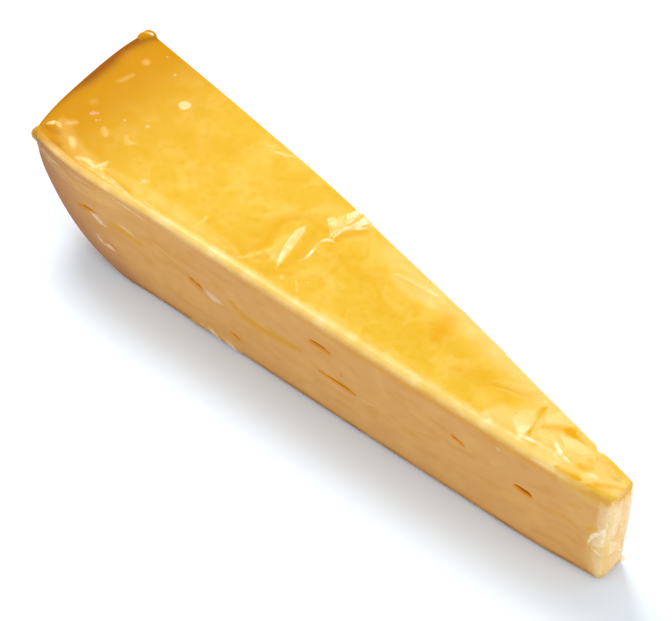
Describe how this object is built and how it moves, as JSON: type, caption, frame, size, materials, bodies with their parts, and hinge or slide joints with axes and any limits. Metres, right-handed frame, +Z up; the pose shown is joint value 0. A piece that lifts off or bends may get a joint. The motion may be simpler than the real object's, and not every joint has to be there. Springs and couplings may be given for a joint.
{
  "type": "parmesan cheese block",
  "caption": "Long tapering wedge of hard cheese with a rounded rind heel, wrapped tightly in clear cling film.",
  "frame": {"origin": "under the middle of the wedge's bounding box, on the level of the flat face that it rests on", "axes": "+X from the rind heel to the narrow tip, +Y to the far cut, +Z up"},
  "size_m": [0.1966, 0.0496, 0.0392],
  "materials": {
    "cheese": "smooth golden paste, tan on the cuts, orange-brown at the rind",
    "cling_film": "clear and glossy, milky where it is creased"
  },
  "bodies": {
    "root": {"cheese_block": "cheese"}
  },
  "joints": []
}
